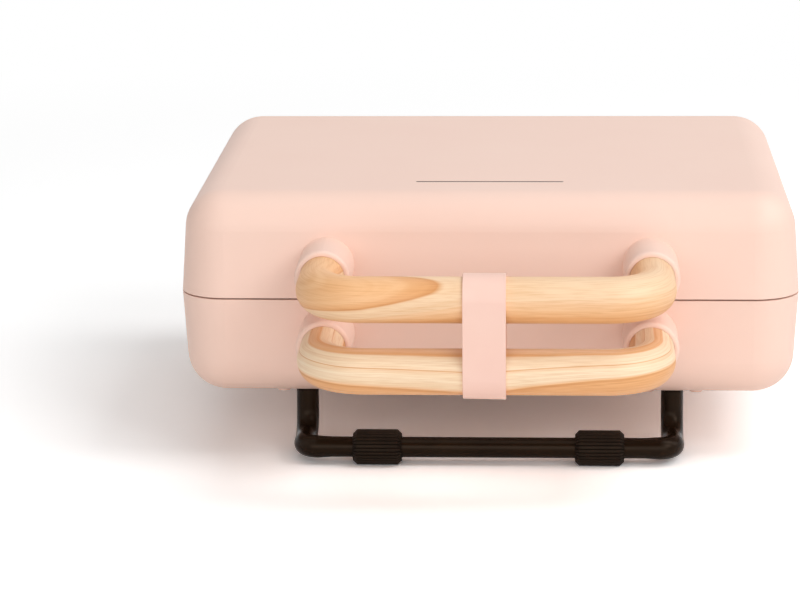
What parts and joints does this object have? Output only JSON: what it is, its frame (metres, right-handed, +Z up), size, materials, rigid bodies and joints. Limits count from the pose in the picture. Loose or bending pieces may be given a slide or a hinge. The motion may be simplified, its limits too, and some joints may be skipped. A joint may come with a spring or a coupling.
{
  "type": "multi-plate waffle maker",
  "caption": "Waffle maker with two rounded shells on a rear hinge, round wooden handles held shut by a band, heated waffle plates inside, and bent wire stands with rubber sleeves.",
  "frame": {"origin": "centre of the bounding box in plan, at the floor that the rubber feet stand on", "axes": "+X to the right along the front handles, -Y towards the handles, +Z up"},
  "size_m": [0.265, 0.2948, 0.1151],
  "materials": {
    "pink_shell": "fine matte texture, moulded",
    "maple": "sanded and oiled",
    "pink_silicone": "matte silicone",
    "black_wire": "satin black powder coat",
    "black_rubber": "matte",
    "cast_plate": "dark non-stick coating",
    "tray_steel": "pressed aluminised sheet",
    "element_sheath": "annealed sheath",
    "screw_steel": "zinc plated",
    "spring_steel": "bright drawn wire",
    "latch_plastic": "heat resistant, matte",
    "hinge_zinc": "painted zinc casting",
    "socket_zinc": "zinc casting",
    "smoked_guide": "clear smoked plastic",
    "board_laminate": "printed circuit board",
    "thermostat_body": "phenolic moulding",
    "block_plastic": "nylon",
    "lead_silicone": "silicone insulation"
  },
  "bodies": {
    "base": {"base_shell": "pink_shell", "base_collars": "pink_shell", "base_handle": "maple", "base_handle_screws": "screw_steel", "closure_band": "pink_silicone", "stand_front": "black_wire", "stand_rear": "black_wire", "front_feet": "black_rubber", "rear_feet": "black_rubber", "stand_sockets": "socket_zinc", "socket_pins": "screw_steel", "socket_screws": "screw_steel", "base_hinge_brackets": "hinge_zinc", "base_hinge_screws": "screw_steel", "hinge_pins": "screw_steel", "hinge_clips": "screw_steel", "thermostat": "thermostat_body", "thermal_fuse": "tray_steel", "terminal_block": "block_plastic", "base_leads": "lead_silicone", "cord_gland": "black_rubber", "base_heat_tray": "tray_steel", "base_tray_screws": "screw_steel", "base_waffle_plate": "cast_plate", "base_heating_element": "element_sheath", "base_element_saddles": "tray_steel", "base_element_pins": "screw_steel", "base_latch_spring": "spring_steel"},
    "lid": {"lid_shell": "pink_shell", "lid_collars": "pink_shell", "lid_handle": "maple", "lid_handle_screws": "screw_steel", "lid_hinge_brackets": "hinge_zinc", "lid_hinge_screws": "screw_steel", "lid_heat_tray": "tray_steel", "lid_tray_screws": "screw_steel", "lid_waffle_plate": "cast_plate", "lid_heating_element": "element_sheath", "lid_element_saddles": "tray_steel", "lid_element_pins": "screw_steel", "lid_latch_spring": "spring_steel", "light_guide": "smoked_guide", "lamp_board": "board_laminate", "lamp_board_screws": "screw_steel"},
    "base_latch": {"base_plate_latch": "latch_plastic"},
    "lid_latch": {"lid_plate_latch": "latch_plastic"}
  },
  "joints": [
    {"name": "lid_hinge", "type": "hinge", "parent": "base", "child": "lid", "pos_m": [0, 0.14188, 0.07115], "axis": [-1, 0, 0], "range_deg": [0, 105], "deforming": ["closure_band"]},
    {"name": "base_latch_slide", "type": "slide", "parent": "base", "child": "base_latch", "axis": [0, -1, 0], "range_m": [0, 0.003], "stiffness_N_per_m": 600, "springref_m": -0.002, "deforming": ["base_latch_spring"]},
    {"name": "lid_latch_slide", "type": "slide", "parent": "lid", "child": "lid_latch", "axis": [0, -1, 0], "range_m": [0, 0.003], "stiffness_N_per_m": 600, "springref_m": -0.002, "deforming": ["lid_latch_spring"]}
  ]
}
